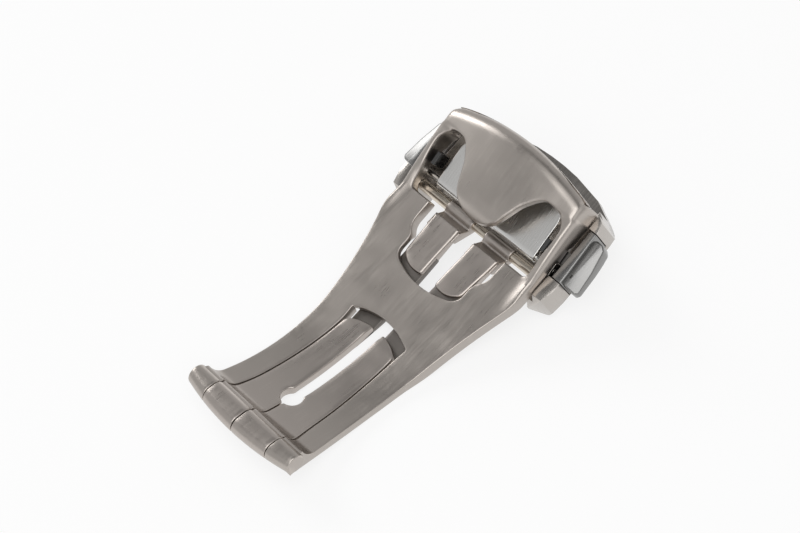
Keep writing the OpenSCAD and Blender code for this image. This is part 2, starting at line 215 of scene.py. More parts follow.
def cap(loops, grid):
    """Triangles over the area between loops, on the loops' points and extra ones grid apart.

    Gives the extra points and the triangles, whose indices run over the loops first.
    """
    border = np.vstack(loops)
    low, high = border.min(0), border.max(0)
    extra = np.zeros((0, 2))
    if grid:
        gx, gy = np.meshgrid(np.arange(low[0], high[0], grid), np.arange(low[1], high[1], grid))
        extra = np.stack([gx.ravel(), gy.ravel()], 1)
        extra = extra[inside(extra, loops)]
        near = np.zeros(len(extra), bool)
        for part in np.array_split(np.arange(len(extra)), max(len(extra) // 1000, 1)):
            gap = np.linalg.norm(extra[part][:, None] - border[None], axis=2).min(1)
            near[part] = gap < 0.5 * grid
        extra = extra[~near]
    edges = []
    first = 0
    for loop in loops:
        n = len(loop)
        edges += [(first + i, first + (i + 1) % n) for i in range(n)]
        first += n
    points = np.vstack([border, extra])
    made = delaunay_2d_cdt([Vector(p) for p in points], edges, [], 0, 1e-7)
    index = [origin[0] if origin else -1 for origin in made[3]]
    tris = [[index[i] for i in f] for f in made[2] if len(f) == 3]
    tris = np.array([tri for tri in tris if min(tri) >= 0])
    keep = inside(points[tris].mean(1), loops)
    return extra, tris[keep]


# Meshes

def make(name, verts, faces, body, slot, material, nodes=(), auto=None):
    """A mesh piece in the row frame that rides on a CAD body and stands for CAD nodes.

    auto is the angle in degrees above which an edge stays sharp.
    """
    points = [tuple(p) for p in np.asarray(verts) * MM]
    mesh = bpy.data.meshes.new(name)
    mesh.from_pydata(points, [], [tuple(int(i) for i in f) for f in faces])
    mesh.validate()
    work = bmesh.new()
    work.from_mesh(mesh)
    bmesh.ops.recalc_face_normals(work, faces=work.faces)
    work.to_mesh(mesh)
    work.free()
    mesh.shade_smooth()
    if auto:
        mesh.set_sharp_from_angle(angle=math.radians(auto))
    mesh.materials.append(material)
    piece = bpy.data.objects.new(name, mesh)
    bpy.context.scene.collection.objects.link(piece)
    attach(piece, body)
    if nodes:
        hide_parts(*nodes)
    return piece


def plate(outlines, top, bottom, place, edge=0.15, low_edge=0.1, grid=0.3, rings=4, rim=None):
    """Vertices and faces of a plate between two height fields, its rims rounded by edge and low_edge.

    The first outline is the outer one, the rest are holes. top, bottom and place take arrays of x and u.
    rim may change the outer top edge: it gets x, u, the ring's share of the turn, the inset and the depth.
    """
    loops = []
    for i, loop in enumerate(outlines):
        turn = signed_area(loop) > 0
        loops.append(loop if turn == (i == 0) else loop[::-1])
    normals = [inward(loop) for loop in loops]

    def radius(value, loop):
        return value(loop[:, 0], loop[:, 1]) if callable(value) else np.full(len(loop), float(value))

    verts, faces = [], []
    starts = {}

    def ring(key, loop_index, xy, w):
        starts[key, loop_index] = len(verts)
        verts.extend(place(xy[:, 0], xy[:, 1], w))

    bends = np.linspace(0, math.pi / 2, rings + 1)
    inner = {"top": [], "low": []}
    for li, (loop, normal) in enumerate(zip(loops, normals)):
        for side, field, size, sign in (("top", top, edge, -1), ("low", bottom, low_edge, 1)):
            r = radius(size, loop)
            for k, bend in enumerate(bends):
                inset, depth = r * (1 - math.cos(bend)), r * (1 - math.sin(bend))
                if rim and side == "top" and li == 0:
                    inset, depth = rim(loop[:, 0], loop[:, 1], k / rings, inset, depth)
                xy = loop + normal * inset[:, None]
                ring((side, k), li, xy, field(xy[:, 0], xy[:, 1]) + sign * depth)
            inner[side].append(xy)
        n = len(loop)
        order = [("low", k) for k in range(rings, -1, -1)] + [("top", k) for k in range(rings + 1)]
        for a, b in zip(order, order[1:]):
            sa, sb = starts[a, li], starts[b, li]
            faces.extend((sa + i, sa + (i + 1) % n, sb + (i + 1) % n, sb + i) for i in range(n))
    for side, field in (("top", top), ("low", bottom)):
        extra, tris = cap(inner[side], grid)
        first = len(verts)
        if len(extra):
            verts.extend(place(extra[:, 0], extra[:, 1], field(extra[:, 0], extra[:, 1])))
        table = [np.arange(len(loop)) + starts[(side, rings), li] for li, loop in enumerate(loops)]
        table = np.concatenate(table + [np.arange(len(extra)) + first])
        faces.extend(tuple(t) if side == "top" else tuple(t[::-1]) for t in table[tris])
    return np.array(verts), faces


def swept(section, stations, place):
    """Vertices and faces of a section carried through stations, with closed ends.

    section(s) gives an (n, 2) loop, and place(s, loop) its points in space.
    """
    verts, faces = [], []
    count = 0
    for s in stations:
        loop = section(s)
        verts.extend(place(s, loop))
        count = len(loop)
    for k in range(len(stations) - 1):
        a, b = k * count, (k + 1) * count
        faces.extend((a + i, a + (i + 1) % count, b + (i + 1) % count, b + i) for i in range(count))
    faces.append(tuple(range(count))[::-1])
    faces.append(tuple(range((len(stations) - 1) * count, len(stations) * count)))
    return np.array(verts), faces


def rounded_bar(loop_at, x0, x1, r, place, rings=4, steps=10):
    """A bar along x whose two ends are rounded by r. loop_at(x) gives its section, counter-clockwise."""
    turn = [math.pi / 2 * k / rings for k in range(rings + 1)]
    corner = [(r * (1 - math.sin(bend)), r * (1 - math.cos(bend))) for bend in turn]
    stations = [(x0 + way, inset) for way, inset in reversed(corner)]
    stations += [(x0 + r + (x1 - x0 - 2 * r) * i / steps, 0.0) for i in range(1, steps)]
    stations += [(x1 - way, inset) for way, inset in corner]

    def section(s):
        x, inset = s
        loop = loop_at(x)
        return loop + inward(loop) * inset

    return swept(section, stations, lambda s, loop: place(s[0], loop))


# Materials

NOISE_SPAN = (0.3, 0.7)        # the part of a noise's range that most of it lies in
EDGE_SPAN = (0.5, 0.62)        # Pointiness of a flat face and of a sharp edge
EDGE_HIGHLIGHT = 0.5                     # how far the sharpest edges go to the brighter colour of the painted edge highlight
# the painted edge highlight's colour is the steel's colour times the gain below
EDGE_HIGHLIGHT_GAIN = 1.35
CLOUD_SCALE = 0.35
ROUGH_SWING = 0.03
BUMP_DEPTH = 0.00002


def ranged(tree, source, span, low, high):
    """A value's span brought to low and high."""
    node = tree.nodes.new("ShaderNodeMapRange")
    node.inputs["From Min"].default_value = span[0]
    node.inputs["From Max"].default_value = span[1]
    node.inputs["To Min"].default_value = low
    node.inputs["To Max"].default_value = high
    tree.links.new(source, node.inputs["Value"])
    return node.outputs["Result"]


def combined(tree, a, b, operation):
    node = tree.nodes.new("ShaderNodeMath")
    node.operation = operation
    tree.links.new(a, node.inputs[0])
    tree.links.new(b, node.inputs[1])
    return node.outputs["Value"]


def scaled(tree, vector, scale, rotation=(0, 0, 0)):
    node = tree.nodes.new("ShaderNodeMapping")
    node.inputs["Rotation"].default_value = rotation
    node.inputs["Scale"].default_value = scale
    tree.links.new(vector, node.inputs["Vector"])
    return node.outputs["Vector"]


def noise(tree, vector, scale, detail):
    node = tree.nodes.new("ShaderNodeTexNoise")
    node.inputs["Scale"].default_value = scale
    node.inputs["Detail"].default_value = detail
    tree.links.new(vector, node.inputs["Vector"])
    return node.outputs["Fac"]


def steel_colour(tree, colour, grain, lines, cloud):
    """The colour, mottled by grain, with a painted highlight that brightens sharp convex edges."""
    links = tree.links
    tint = tree.nodes.new("ShaderNodeMix")
    tint.data_type = "RGBA"
    tint.inputs["A"].default_value = (*(c * (1 - grain) for c in colour), 1)
    tint.inputs["B"].default_value = (*(min(c * (1 + grain), 1) for c in colour), 1)
    mottle = combined(tree, lines, cloud, "MULTIPLY")
    links.new(ranged(tree, mottle, NOISE_SPAN, 0, 1), tint.inputs["Factor"])
    # Painted highlight: where Pointiness finds a sharp convex edge, the colour goes brighter.
    edge = tree.nodes.new("ShaderNodeNewGeometry")
    edge_highlight = tree.nodes.new("ShaderNodeMix")
    edge_highlight.data_type = "RGBA"
    edge_highlight.inputs["B"].default_value = (*(min(c * EDGE_HIGHLIGHT_GAIN, 1) for c in colour), 1)
    links.new(ranged(tree, edge.outputs["Pointiness"], EDGE_SPAN, 0, EDGE_HIGHLIGHT), edge_highlight.inputs["Factor"])
    links.new(tint.outputs["Result"], edge_highlight.inputs["A"])
    return edge_highlight.outputs["Result"]


def steel(name, colour, rough, grain, bump, across=1.0, along=14.0, frame_tilt=0.0):
    """Satin steel: a noise that is fine along x, cloudy roughness, and a painted highlight on sharp edges.
    """
    mat = bpy.data.materials.new(name)
    mat.use_nodes = True
    tree = mat.node_tree
    links = tree.links
    shader = tree.nodes["Principled BSDF"]
    shader.inputs["Metallic"].default_value = 1.0

    where = tree.nodes.new("ShaderNodeTexCoord")
    place = scaled(tree, where.outputs["Object"], (1 / MM, 1 / MM, 1 / MM), (frame_tilt, 0, 0))
    lines = noise(tree, scaled(tree, place, (along, across, across)), 1.0, 2.0)
    cloud = noise(tree, place, CLOUD_SCALE, 3.0)
    links.new(steel_colour(tree, colour, grain, lines, cloud), shader.inputs["Base Color"])

    rough_lines = ranged(tree, lines, NOISE_SPAN, rough - ROUGH_SWING, rough + ROUGH_SWING)
    rough_cloud = ranged(tree, cloud, NOISE_SPAN, -ROUGH_SWING, ROUGH_SWING)
    links.new(combined(tree, rough_lines, rough_cloud, "ADD"), shader.inputs["Roughness"])

    relief = tree.nodes.new("ShaderNodeBump")
    relief.inputs["Strength"].default_value = bump
    relief.inputs["Distance"].default_value = BUMP_DEPTH
    links.new(lines, relief.inputs["Height"])
    links.new(relief.outputs["Normal"], shader.inputs["Normal"])
    return mat


WARM = (0.48, 0.44, 0.405)
BLADE = steel("satin_blade", WARM, 0.32, 0.07, 0.04, across=0.3, along=8)
HEAD = steel("satin_head", WARM, 0.32, 0.07, 0.045, across=0.3, along=8, frame_tilt=-TILT)
FINGER = steel("satin_finger", (0.5, 0.455, 0.42), 0.31, 0.07, 0.04, across=0.3, along=8)
# Painted sheen: the flap's colour is set near white to stand in for the bright reflection on it; its
# brushing is real
FLAP_PAINTED_SHEEN = steel("brushed_flap_painted_sheen", (0.9, 0.89, 0.87), 0.24, 0.15, 0.5, across=0.4, along=8, frame_tilt=-TILT)
COVER = steel("satin_cover", (0.5, 0.47, 0.44), 0.2, 0.08, 0.2, across=0.3, along=6, frame_tilt=-TILT)
# Painted shade: the web's colour is darkened to stand in for the shade in the recesses under the bridge and
# the pads
WEB_PAINTED_SHADE = steel("web_painted_shade", (0.2, 0.183, 0.168), 0.36, 0.07, 0.05, across=0.3, along=8)
HOOK = steel("hardened_hook", (0.1, 0.1, 0.1), 0.3, 0.1, 0.3)
# Painted shade: the buttons' colour is darkened to stand in for the dark reflections on their polished faces
POLISH_PAINTED_SHADE = steel("polished_button_painted_shade", (0.27, 0.267, 0.262), 0.24, 0.05, 0.1, frame_tilt=-TILT)
AXLE = steel("turned_axle", (0.62, 0.56, 0.48), 0.22, 0.06, 0.3, across=18, along=1)
WIRE = steel("drawn_wire", (0.5, 0.48, 0.46), 0.25, 0.06, 0.2)
PIN = steel("ground_pin", (0.5, 0.49, 0.47), 0.2, 0.05, 0.2, across=16, along=1)


# Wrist blade

BARREL_R, BARREL_HALF, CROWN = 1.1, 7.8, 0.88
BARREL_POINTS = 40
KNUCKLE_EDGE = 0.12
SEAM = 4.87
FINGER_EDGE = [(4.12, 9.0), (3.89, 12.7), (3.79, 16.2)]    # nominal; the drawn fingers are 0.05 narrower
SLOT_GAP = 0.1         # from the nominal edge to the lower window's
WAIST, WAIST_Y, WAIST_CUT = 6.72, 10.3, 54.0
RAIL = 9.9
PLATE_TOP, PLATE_T, CROWN_R = 3.93, 1.0, 42.0
FAR_V, FAR_R, ROLL = 10.8, 30.8, 1.4
LIP_UNDER = 2.35       # the rolled far edge reaches down to here


def waist_x(y):
    return WAIST + WAIST_CUT - math.sqrt(WAIST_CUT ** 2 - (y - WAIST_Y) ** 2)


def opposite(points):
    """The same corners at the other side of the middle."""
    return [(-p[0],) + tuple(p[1:]) for p in points]


def wrist_outer():
    """The legs, the lower window that is open toward the hinge, the rails and the far edge."""
    side = [(waist_x(y), y) for y in np.linspace(0.9, 28.4, 12)]
    far = [(x, of_head(math.sqrt(FAR_R ** 2 - x * x) + FAR_V - FAR_R)) for x in np.linspace(9.0, 0, 8)]
    leg_end = [(SEAM, 0.5, 0.05), (7.72, 0.5, 0.05)]
    rail = [(RAIL - 0.02, 29.4), (RAIL, 31), (RAIL, of_head(4)), (RAIL, of_head(8.1)),
            (RAIL - 0.1, of_head(9.05), 0.5)]
    outer = leg_end + side + rail + far
    beside_finger = [(x + SLOT_GAP, y) for x, y in FINGER_EDGE]
    notch = ([(SEAM, 3.1, 0.3), (4.44, 5.3)] + beside_finger
             + [(3.95, 17.4), (4.1, 18.46, 0.25), (2.1, 19.2), (0, 19.46)])
    loop = outer + opposite(reversed(outer[:-1]))
    loop += opposite(notch[:-1]) + [notch[-1]] + list(reversed(notch[:-1]))
    return curve(loop)


def upper_window():
    """The window of the pads, which runs on into the two teardrops beside the tongue."""
    half = [(0, 24.1), (2.0, 24.3), (4.0, 24.9, 0.6), (4.66, 25.6, 0.5), (4.66, 27.5, 0.7),
            (5.67, 28.5, 0.7), (5.67, Y_END - 0.05, 0.15), (8.5, Y_END - 0.05, 0.3),
            (8.72, of_head(0.2), 0.4)]
    tear = [(8.72, 1.0), (8.8, 2.4), (9.0, 3.8), (9.05, 5.2), (8.9, 5.9), (8.5, 6.5), (7.95, 6.95),
            (7.1, 7.15), (6.3, 7.2), (5.75, 7.0), (5.2, 6.5), (4.75, 5.9), (4.29, 5.28), (3.96, 4.6),
            (3.68, 3.85), (3.33, 3.0), (2.96, 2.25), (2.4, 1.6), (1.6, 1.15), (0.8, 0.95), (0, 0.9)]
    half += [(x, of_head(v)) for x, v in tear]
    return curve(mirrored(half))


def hinge_valley(u):
    """The blades' rise from their flat part to the hinge barrel."""
    return 1.25 * np.clip((3.8 - u) / 1.9, 0, 1.05) ** 2


def crown_fall(x):
    return x * x / (2 * CROWN_R)


def toward_tip(v):
    """0 on the plate, 1 at the tongue's tip."""
    return np.clip((3.4 - v) / 2.5, 0, 1)


def from_far_edge(x, v):
    return FAR_R - np.hypot(x, v - FAR_V + FAR_R)


# Height of the rails' rims over the blade's surface, at these v
RIM_V = [-6.5, -4.5, -2.5, -0.5, 2, 5, 7]
RIM_W = [0, 0.04, 0.16, 2.42 - H_END, 2.68 - H_END, 2.84 - H_END, 2.84 - H_END]


def wrist_top(x, u):
    """Height over the blade's reference surface."""
    a = np.abs(x)
    v = head_v(u)
    rim_at = np.interp(v, RIM_V, RIM_W)
    hollow = np.clip((a - 8.1) / 1.3, 0, 1) ** 2
    hollow = np.where(v < 3, hollow * (1 - smooth(0.5, 3, v)) + smooth(0.5, 3, v), 1)
    rail = rim_at * hollow
    rail = np.where(v > -0.4, np.maximum(rail, rim_at - 0.5), rail)
    tongue_drop = 1.15 * toward_tip(v) ** 2.2
    crown = PLATE_TOP - crown_fall(x) + 0.12 * smooth(7, RAIL, a) - tongue_drop
    inset = np.clip(from_far_edge(x, v), 0, ROLL)
    crown = crown - (ROLL - np.sqrt(ROLL ** 2 - (ROLL - inset) ** 2)) * 0.92
    side_round = 0.12 * smooth(9.0, RAIL, a) ** 2
    on_plate = np.where(a < 6.6, smooth(0.2, 0.4, v), smooth(6.75, 7.35, v))
    return hinge_valley(u) + rail * (1 - on_plate) + (crown - side_round - H_END) * on_plate


def wrist_bottom(x, u):
    """The underside: thicker toward the bridge, raised over the cover's lugs, with rails at the head."""
    a = np.abs(x)
    v = head_v(u)
    thick = 1.0 + 0.5 * smooth(15.0, 18.8, u)
    thin = 0.75 + 0.25 * (1 - smooth(15.5, 18.0, u))
    depth = np.where(u < 18.4, thick, thick + (thin - thick) * (1 - smooth(4.7, 5.0, a)))
    low = -depth
    lug = smooth(8.7, 8.95, a) * smooth(-1.9, -1.4, v)
    low = np.maximum(low, (1.05 - H_END) * lug - 2 * (1 - lug))
    rail = np.interp(v, [2.6, 2.7, 4.55, 4.75, 9.3], [1.05, 0.32, 0.32, -0.05, -0.9])
    under = PLATE_TOP - PLATE_T - crown_fall(x) - 0.5 * toward_tip(v) ** 2
    under = np.where(from_far_edge(x, v) < ROLL, np.minimum(under, LIP_UNDER), under)
    side = smooth(8.3, 8.7, a) * (1 - smooth(8.9, 9.3, v))
    at_head = rail * side + under * (1 - side) - H_END
    k = smooth(-0.2, 0.2, v)
    return low * (1 - k) + at_head * k


def wrist_edge(x, u):
    """Rims are crisp on the legs, softer round the head."""
    v = head_v(u)
    return 0.1 + 0.12 * smooth(-3, 1, v)


# Outer edge beside the plate, from the flank up over a small step
STEP_INSET = [0, 0.04, 0.14, 0.26, 0.34, 0.39, 0.46]
STEP_DEPTH = [1.1, 0.75, 0.48, 0.34, 0.28, 0.07, 0]
FLANK_INSET, FLANK_DEPTH = 0.45, 0.85


def wrist_rim(x, u, share, inset, depth):
    """The rails' outer flanks lean out from the rim; beside the plate a small step runs along its edge."""
    v = head_v(u)
    outer = smooth(8.4, 9.4, np.abs(x))
    flank = outer * smooth(-4, -0.5, v)
    bend = math.pi / 2 * share
    inset = inset + (FLANK_INSET * (1 - math.cos(bend)) - inset) * flank
    depth = depth + (FLANK_DEPTH * (1 - math.sin(bend)) - depth) * flank
    step = outer * smooth(6.95, 7.4, v) * (1 - smooth(9.0, 9.5, v))
    order = range(len(STEP_INSET))
    at = share * order[-1]
    inset = inset + (np.interp(at, order, STEP_INSET) - inset) * step
    depth = depth + (np.interp(at, order, STEP_DEPTH) - depth) * step
    return inset, depth


def knuckle_section(x):
    """The barrel's section at x: a round nose in front, filled back to the pin's circle."""
    nose = -CROWN * (1 - (x / BARREL_HALF) ** 2)
    turns = np.linspace(0, 2 * math.pi, BARREL_POINTS, endpoint=False) + math.pi / BARREL_POINTS
    y = BARREL_R * np.cos(turns)
    y = np.where(y < 0, y + nose, y)
    return np.stack([HINGE_Y + y, HINGE_Z + BARREL_R * np.sin(turns)], 1)


def knuckle(x0, x1):
    """A knuckle of the folding hinge from x0 to x1."""
    def place(x, loop):
        return np.stack([np.full(len(loop), x), loop[:, 0] + SHIFT, loop[:, 1]], 1)

    return rounded_bar(knuckle_section, x0, x1, KNUCKLE_EDGE, place)


def join(parts):
    """One list of vertices and faces from several."""
    verts, faces = [], []
    for v, f in parts:
        first = len(verts)
        verts.extend(v)
        faces.extend(tuple(int(i) + first for i in face) for face in f)
    return np.array(verts), faces


def build_wrist_blade():
    verts, faces = plate([wrist_outer(), upper_window()], wrist_top, wrist_bottom, wrist_place,
                         edge=wrist_edge, grid=0.26, rings=6, rim=wrist_rim)
    make("wrist_blade_body", verts, faces, "wrist_body", "blade", HEAD, ["wrist_blade"])
    for name, x0, x1 in (("right", SEAM, BARREL_HALF), ("left", -BARREL_HALF, -SEAM)):
        make(f"wrist_knuckle_{name}", *knuckle(x0, x1), "wrist_body", "blade", BLADE)


# Middle blade

BULB_R, BULB_Y = 1.17, 6.7
NECK_R = 0.79          # the knuckle on the head axle
PAD_LOW = -1.55
WEB_TOP = -0.9


def level(w):
    """A height field that is w everywhere."""
    return lambda x, u: w + 0 * x


def finger_outline():
    """The right finger; a round bulb ends the slot between the two."""
    half = [(0.08, 0.5, 0.02), (SEAM - 0.13, 0.5, 0.02), (4.65, 3.0), (4.29, 5.3), (4.07, 9.0), (3.84, 12.7),
            (3.74, 16.0), (3.65, 17.15, 0.5), (2.4, 17.85), (0.8, 18.15, 0.3), (0.8, 12), (0.8, 8.2, 0.3)]
    turns = np.radians(np.linspace(40, 172, 10))
    bulb = [(BULB_R * math.sin(t), BULB_Y + BULB_R * math.cos(t)) for t in turns]
    return curve(half + bulb + [(0.08, 5.4, 0.02)], step=0.1)


def finger_top(x, u):
    return hinge_valley(u) - 0.25 * smooth(16.9, 18.2, u)


def finger_bottom(x, u):
    return -(1.0 + 0.3 * smooth(15, 18, u))


def web_low(x, u):
    return -1.05 - 0.57 * smooth(16, 20, u)


def web_outline():
    half = [(0, 19.9), (0.8, 19.9, 0.3), (0.8, 15.6, 0.2), (3.6, 15.6, 0.2), (3.75, 20, 0.5), (4.5, 21, 0.5),
            (4.5, 27.4, 0.2), (1.0, 27.4, 0.2), (0.9, 23.7, 0.3), (0, 23.7)]
    return curve(mirrored(half))


def pad_outline():
    """The right pad in the upper window."""
    return curve([(1.0, 25.12, 0.35), (2.4, 24.98), (3.5, 25.3), (4.33, 25.98, 0.35), (4.72, 30.8, 0.08),
                  (1.12, 30.8, 0.08)], step=0.1)


def pad_top(x, u):
    return -0.45 - 0.3 * smooth(26, 31.2, u)


def neck_section(x):
    """Side view, in (v, h), of the neck from the pad to the knuckle on the head axle, alike at every x."""
    turns = np.linspace(math.radians(100), math.radians(-112), 15)
    ring = [(AXLE_V + NECK_R * math.cos(t), AXLE_H + NECK_R * math.sin(t), 0.2) for t in turns]
    neck = [(-2.4, 0.95, 0.2), (-2.4, 1.75, 0.1), (-1.12, 1.38, 0.2), (-0.5, 0.2, 0.25)]
    return curve(neck + ring + [(-0.5, -0.85, 0.2)], step=0.07)[::-1]


def in_head(x, loop):
    return head(np.full(len(loop), x), loop[:, 0], loop[:, 1])


def build_inner_side(name, sign):
    """A finger, its pad and neck as one piece, and its knuckle, at one side of the middle."""
    flip = np.array([sign, 1.0])
    neck_from, neck_to = sorted((sign * 0.95, sign * 4.8))
    parts = [plate([finger_outline() * flip], finger_top, finger_bottom, along_blade, edge=0.14, grid=0.3),
             plate([pad_outline() * flip], pad_top, level(PAD_LOW), along_blade, edge=0.22, grid=0.35),
             rounded_bar(neck_section, neck_from, neck_to, 0.1, in_head)]
    nodes = ["middle_blade"] if sign > 0 else []
    make(f"middle_finger_{name}", *join(parts), "middle_body", "inner_blade", FINGER, nodes)
    x0, x1 = sorted((sign * 0.06, sign * (SEAM - 0.07)))
    make(f"middle_knuckle_{name}", *knuckle(x0, x1), "middle_body", "inner_blade", FINGER)


def build_middle_blade():
    build_inner_side("right", 1)
    build_inner_side("left", -1)
    web = plate([web_outline()], level(WEB_TOP), web_low, along_blade, edge=0.08, low_edge=0.05, grid=0.4)
    make("middle_web", *web, "middle_body", "inner_blade", WEB_PAINTED_SHADE)


# Cover and buttons: convex blocks between planes, joined and cut by one another, with rounded edges

BEVEL_ABOVE = 20       # edges that turn by more degrees than this are rounded
SHARP_ABOVE = 35       # and these stay sharp in the shading


def block(planes):
    """A convex solid inside planes given as (point, outward normal)."""
    points = np.array([p for p, _ in planes], float)
    normals = np.array([n for _, n in planes], float)
    normals /= np.linalg.norm(normals, axis=1)[:, None]
    reach = (points * normals).sum(1)
    corners = []
    for three in itertools.combinations(range(len(planes)), 3):
        three = list(three)
        if abs(np.linalg.det(normals[three])) < 1e-6:
            continue
        corner = np.linalg.solve(normals[three], reach[three])
        inside_all = (normals @ corner <= reach + 1e-6).all()
        if inside_all and all(np.abs(corner - c).max() > 1e-4 for c in corners):
            corners.append(corner)
    work = bmesh.new()
    for corner in corners:
        work.verts.new(corner)
    bmesh.ops.convex_hull(work, input=work.verts[:])
    bmesh.ops.dissolve_limit(work, angle_limit=math.radians(0.5), verts=work.verts[:], edges=work.edges[:])
    return work


def box(low, high):
    """A box between two corners."""
    work = bmesh.new()
    bmesh.ops.create_cube(work, size=1.0)
    for vert in work.verts:
        vert.co = [low[k] if vert.co[k] < 0 else high[k] for k in range(3)]
    return work


def prism(profile, x0, x1):
    """A profile in (v, h) drawn out along x; it may be hollow."""
    work = bmesh.new()
    sides = [[work.verts.new((x, v, h)) for v, h in profile] for x in (x0, x1)]
    count = len(profile)
    work.faces.new(sides[0])
    work.faces.new(list(reversed(sides[1])))
    for i in range(count):
        j = (i + 1) % count
        work.faces.new((sides[0][j], sides[0][i], sides[1][i], sides[1][j]))
    bmesh.ops.recalc_face_normals(work, faces=work.faces[:])
    return work


def prism_planes(profile, flat, across):
    """Planes of a convex profile; flat and across are the head axes of its two coordinates."""
    planes = []
    middle = np.mean(profile, axis=0)
    for a, b in zip(profile, profile[1:] + profile[:1]):
        way = np.subtract(b, a)
        normal = np.array([way[1], -way[0]])
        if np.dot(normal, np.subtract(a, middle)) < 0:
            normal = -normal
        point, outward = [0.0] * 3, [0.0] * 3
        point[flat], point[across] = a
        outward[flat], outward[across] = normal
        planes.append((point, outward))
    return planes


def temporary(work, name):
    """An object that only lends its mesh to a boolean."""
    mesh = bpy.data.meshes.new(name)
    work.to_mesh(mesh)
    work.free()
    thing = bpy.data.objects.new(name, mesh)
    bpy.context.scene.collection.objects.link(thing)
    return thing


def carved(base, steps, late=(), bevel=0.1, segments=3):
    """Applies booleans, a bevel and late cuts to a block and gives its vertices and faces."""
    thing = temporary(base, "carving")
    tools = []

    def apply(work, operation):
        tool = temporary(work, "tool")
        tools.append(tool)
        step = thing.modifiers.new("cut", "BOOLEAN")
        step.operation = operation
        step.solver = "EXACT"
        step.object = tool

    for work, operation in steps:
        apply(work, operation)
    rounding = thing.modifiers.new("edges", "BEVEL")
    rounding.width = bevel
    rounding.segments = segments
    rounding.limit_method = "ANGLE"
    rounding.angle_limit = math.radians(BEVEL_ABOVE)
    rounding.use_clamp_overlap = True
    for work in late:
        apply(work, "DIFFERENCE")
    shown = thing.evaluated_get(bpy.context.evaluated_depsgraph_get()).to_mesh()
    verts = [tuple(v.co) for v in shown.vertices]
    faces = [tuple(p.vertices) for p in shown.polygons]
    for tool in tools:
        bpy.data.objects.remove(tool)
    bpy.data.objects.remove(thing)
    return np.array(verts), faces


TUNNEL = 18.3
COVER_DEEP = 5.05
FLOOR_T = 1.2
FLOOR_START = -0.5     # the floor is cut away before this place along the cover
LEDGE = -1.1           # within INNER_HALF of the middle the walls are cut down to this height
INNER_HALF = 10
COVER_TOP = (1.14, 0.92)
COVER_LEAN = math.radians(10.8)
COVER_PLAN = [(9.1, -3.7), (10.6, -2.95), (11.2, -2.5), (11.6, -1.0), (11.55, 1.0), (11.1, 6.5), (10.8, 7.5),
              (9.2, 8.4), (6.7, 9.5), (3, 10.15), (0, 10.35)]
COVER_SECTION = [(-11.8, 0), (-11.8, -3.1), (-10.2, -COVER_DEEP), (10.2, -COVER_DEEP), (11.8, -3.1),
                 (11.8, 0)]
COVER_SIDE = [(-2.2, -COVER_DEEP), (-3.8, -2.9), (-2.5, 0), (8.6, 0), (10.4, -0.6), (10.4, -3.5),
              (9.93, -COVER_DEEP)]

PAD_PLAN = [(11, 0.2), (12.9, 0.2), (13.25, 0.55), (12.95, 3.0), (12.4, 5.5), (11.9, 5.95), (11, 5.95)]
PAD_SECTION = [(11, -1.0), (11.7, -1.03), (13.3, -1.35), (13.3, -2.2), (12.6, -2.75), (11, -2.75)]
PIN_SLOT = ((10.65, 1.85, -5), (11.61, 2.55, -0.32))


def of_cover(verts):
    """From the cover's own frame to row coordinates."""
    x, a, b = verts.T
    v = COVER_TOP[0] + a * math.cos(COVER_LEAN) + b * math.sin(COVER_LEAN)
    h = COVER_TOP[1] - a * math.sin(COVER_LEAN) + b * math.cos(COVER_LEAN)
    return head(x, v, h)


def leaning_box(low, high):
    """A box drawn in the head's frame, seen from the cover's frame."""
    work = box(low, high)
    c, s = math.cos(COVER_LEAN), math.sin(COVER_LEAN)
    for vert in work.verts:
        v, h = vert.co.y - COVER_TOP[0], vert.co.z - COVER_TOP[1]
        vert.co.y, vert.co.z = v * c - h * s, v * s + h * c
    return work


def both(maker, low, high):
    """A box and its mirror image across the middle."""
    return [maker(low, high), maker((-high[0],) + tuple(low[1:]), (-low[0],) + tuple(high[1:]))]


def cover_planes():
    """The cover's outer shape as planes; the buttons continue it."""
    plan = mirrored([(0, -3.8)] + COVER_PLAN)
    return prism_planes(plan, 0, 1) + prism_planes(COVER_SECTION, 0, 2) + prism_planes(COVER_SIDE, 1, 2)


def build_cover():
    half = TUNNEL / 2
    floor = FLOOR_T - COVER_DEEP
    tunnel = [(-9, -9), (FLOOR_START, -9), (FLOOR_START, floor), (20, floor), (20, 9), (-9, 9)]
    above = box((-INNER_HALF, -9, LEDGE), (INNER_HALF, 20, 9))
    steps = [(prism(tunnel, -half, half), "DIFFERENCE"), (above, "DIFFERENCE")]
    steps += [(lug, "UNION") for lug in both(leaning_box, (half, -1.0, -2), (10.2, 2.6, 0.8))]
    steps += [(gap, "DIFFERENCE") for gap in both(box, (9.88, 0.05, -3.3), (20, 6.3, 9))]
    verts, faces = carved(block(cover_planes()), steps, bevel=0.16)
    make("cover_body_shell", of_cover(verts), faces, "cover_body", "cover", COVER, ["cover"], SHARP_ABOVE)


def build_button(name, sign):
    """What fills the cover's cut-out, and the pad on it, both slotted for the retaining pin."""
    sides = [((10.35, 0, 0), (-1, 0, 0)), ((0, 0.12, 0), (0, -1, 0)), ((0, 6.23, 0), (0, 1, 0)),
             ((0, 0, -3.2), (0, 0, -1))]
    body = carved(block(cover_planes() + sides), [], [leaning_box(*PIN_SLOT)], bevel=0.1)
    pad_planes = prism_planes(PAD_PLAN, 0, 1) + prism_planes(PAD_SECTION, 0, 2)
    pad = carved(block(pad_planes), [], [leaning_box(*PIN_SLOT)], bevel=0.2, segments=4)
    verts, faces = join([body, pad])
    verts = verts * np.array([sign, 1, 1])
    make(f"button_{name}", of_cover(verts), faces, f"button_{name}_body", "button", POLISH_PAINTED_SHADE,
         [f"push_button_{name}"], SHARP_ABOVE)


# Flap, axle and the rest

